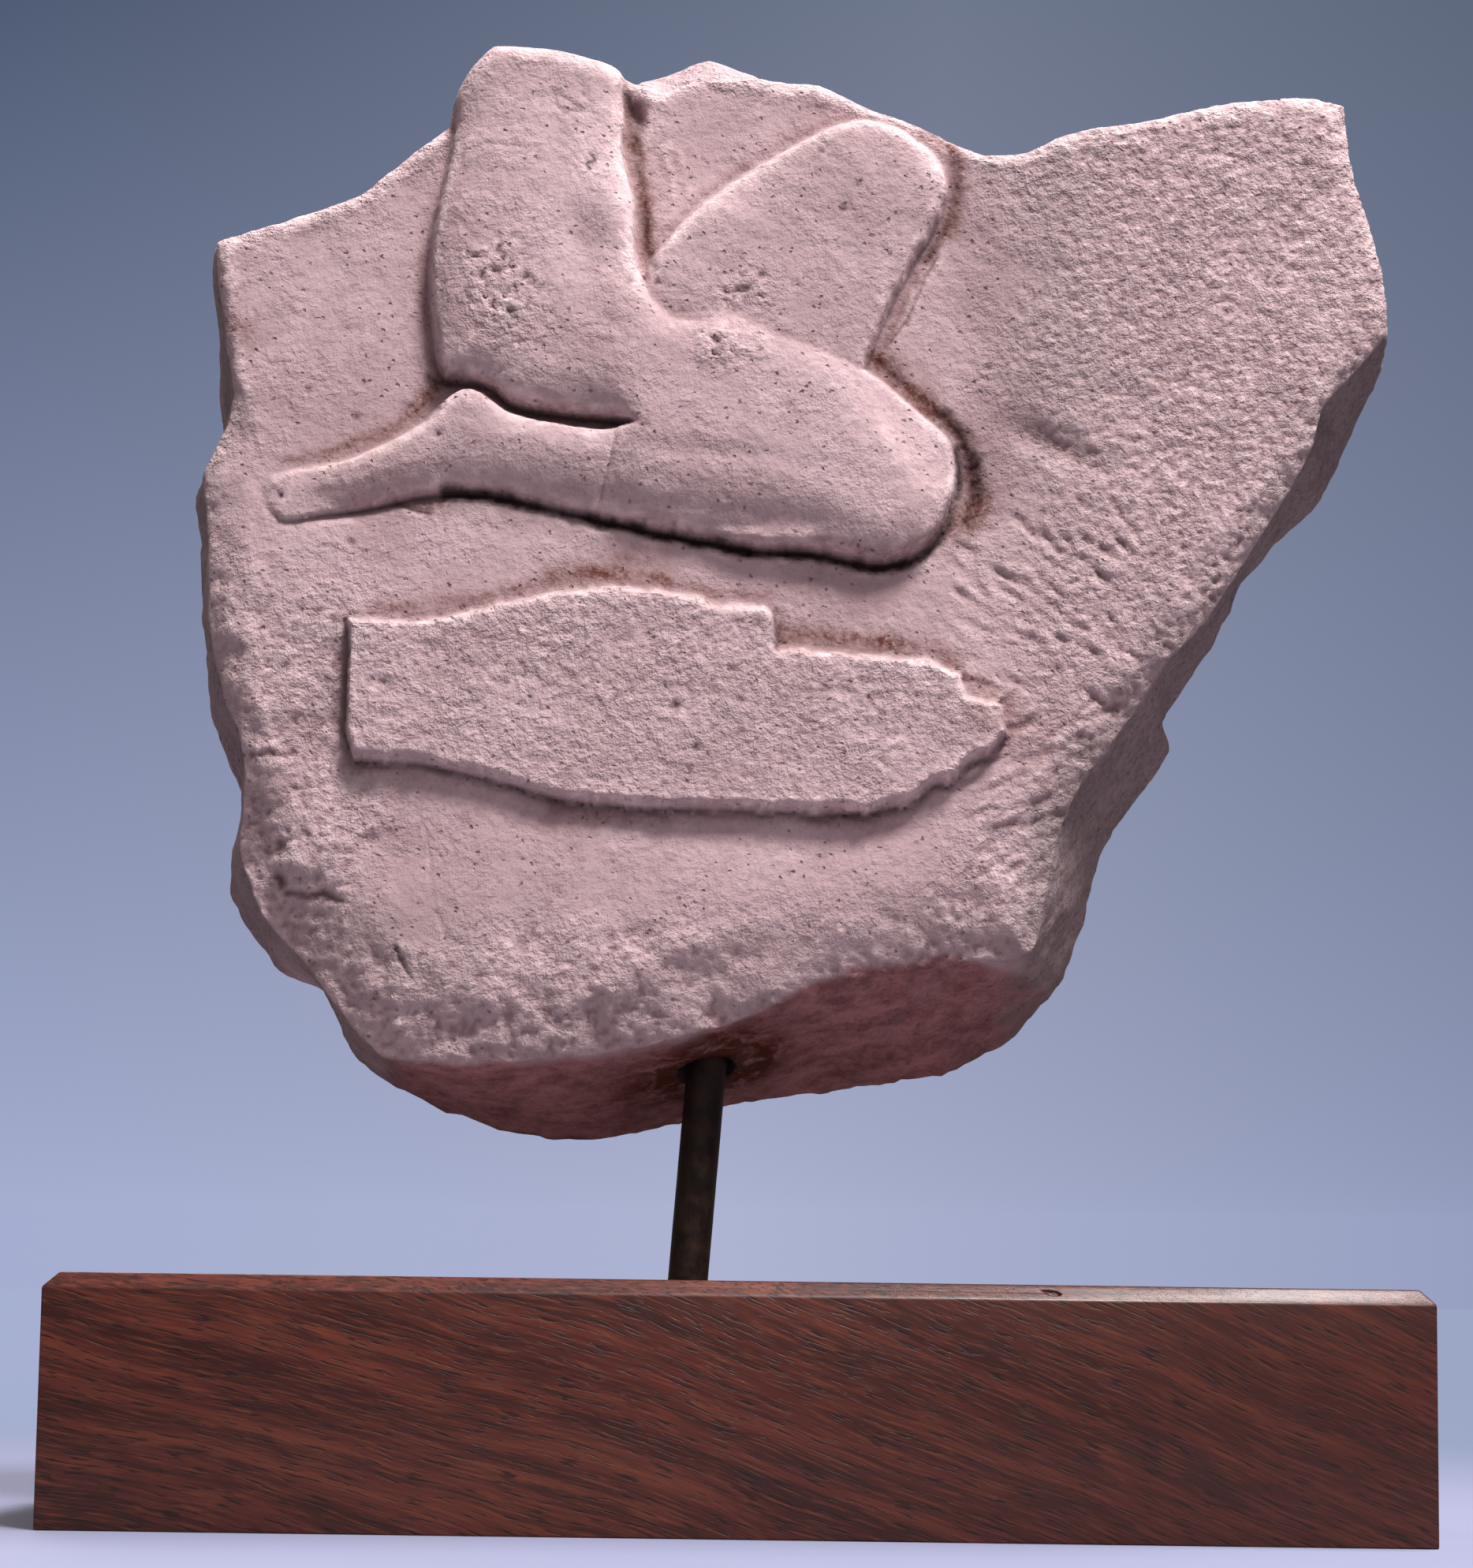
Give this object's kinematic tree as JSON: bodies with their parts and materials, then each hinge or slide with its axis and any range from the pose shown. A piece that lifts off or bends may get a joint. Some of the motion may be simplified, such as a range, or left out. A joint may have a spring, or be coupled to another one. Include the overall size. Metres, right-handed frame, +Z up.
{
  "type": "stone relief fragment on a rod stand",
  "caption": "Broken limestone relief with the lower half of a kneeling figure over a blocked-out shape, on a leaning metal rod in a rectangular wooden block.",
  "frame": {"origin": "centre of the wooden block's underside", "axes": "+X to the viewer's right along the block, +Y from the carved face to the rough back, +Z up"},
  "size_m": [0.208, 0.07, 0.2338],
  "materials": {
    "limestone": "dry matt carved limestone, pinkish buff, with brown earth left in the cut lines",
    "dark_rod": "dark brown-black patinated steel, satin",
    "walnut": "oiled walnut, satin, with open grain that runs down to the right"
  },
  "bodies": {
    "root": {"stone_relief": "limestone", "mount_rod": "dark_rod", "wooden_base": "walnut"}
  },
  "joints": []
}
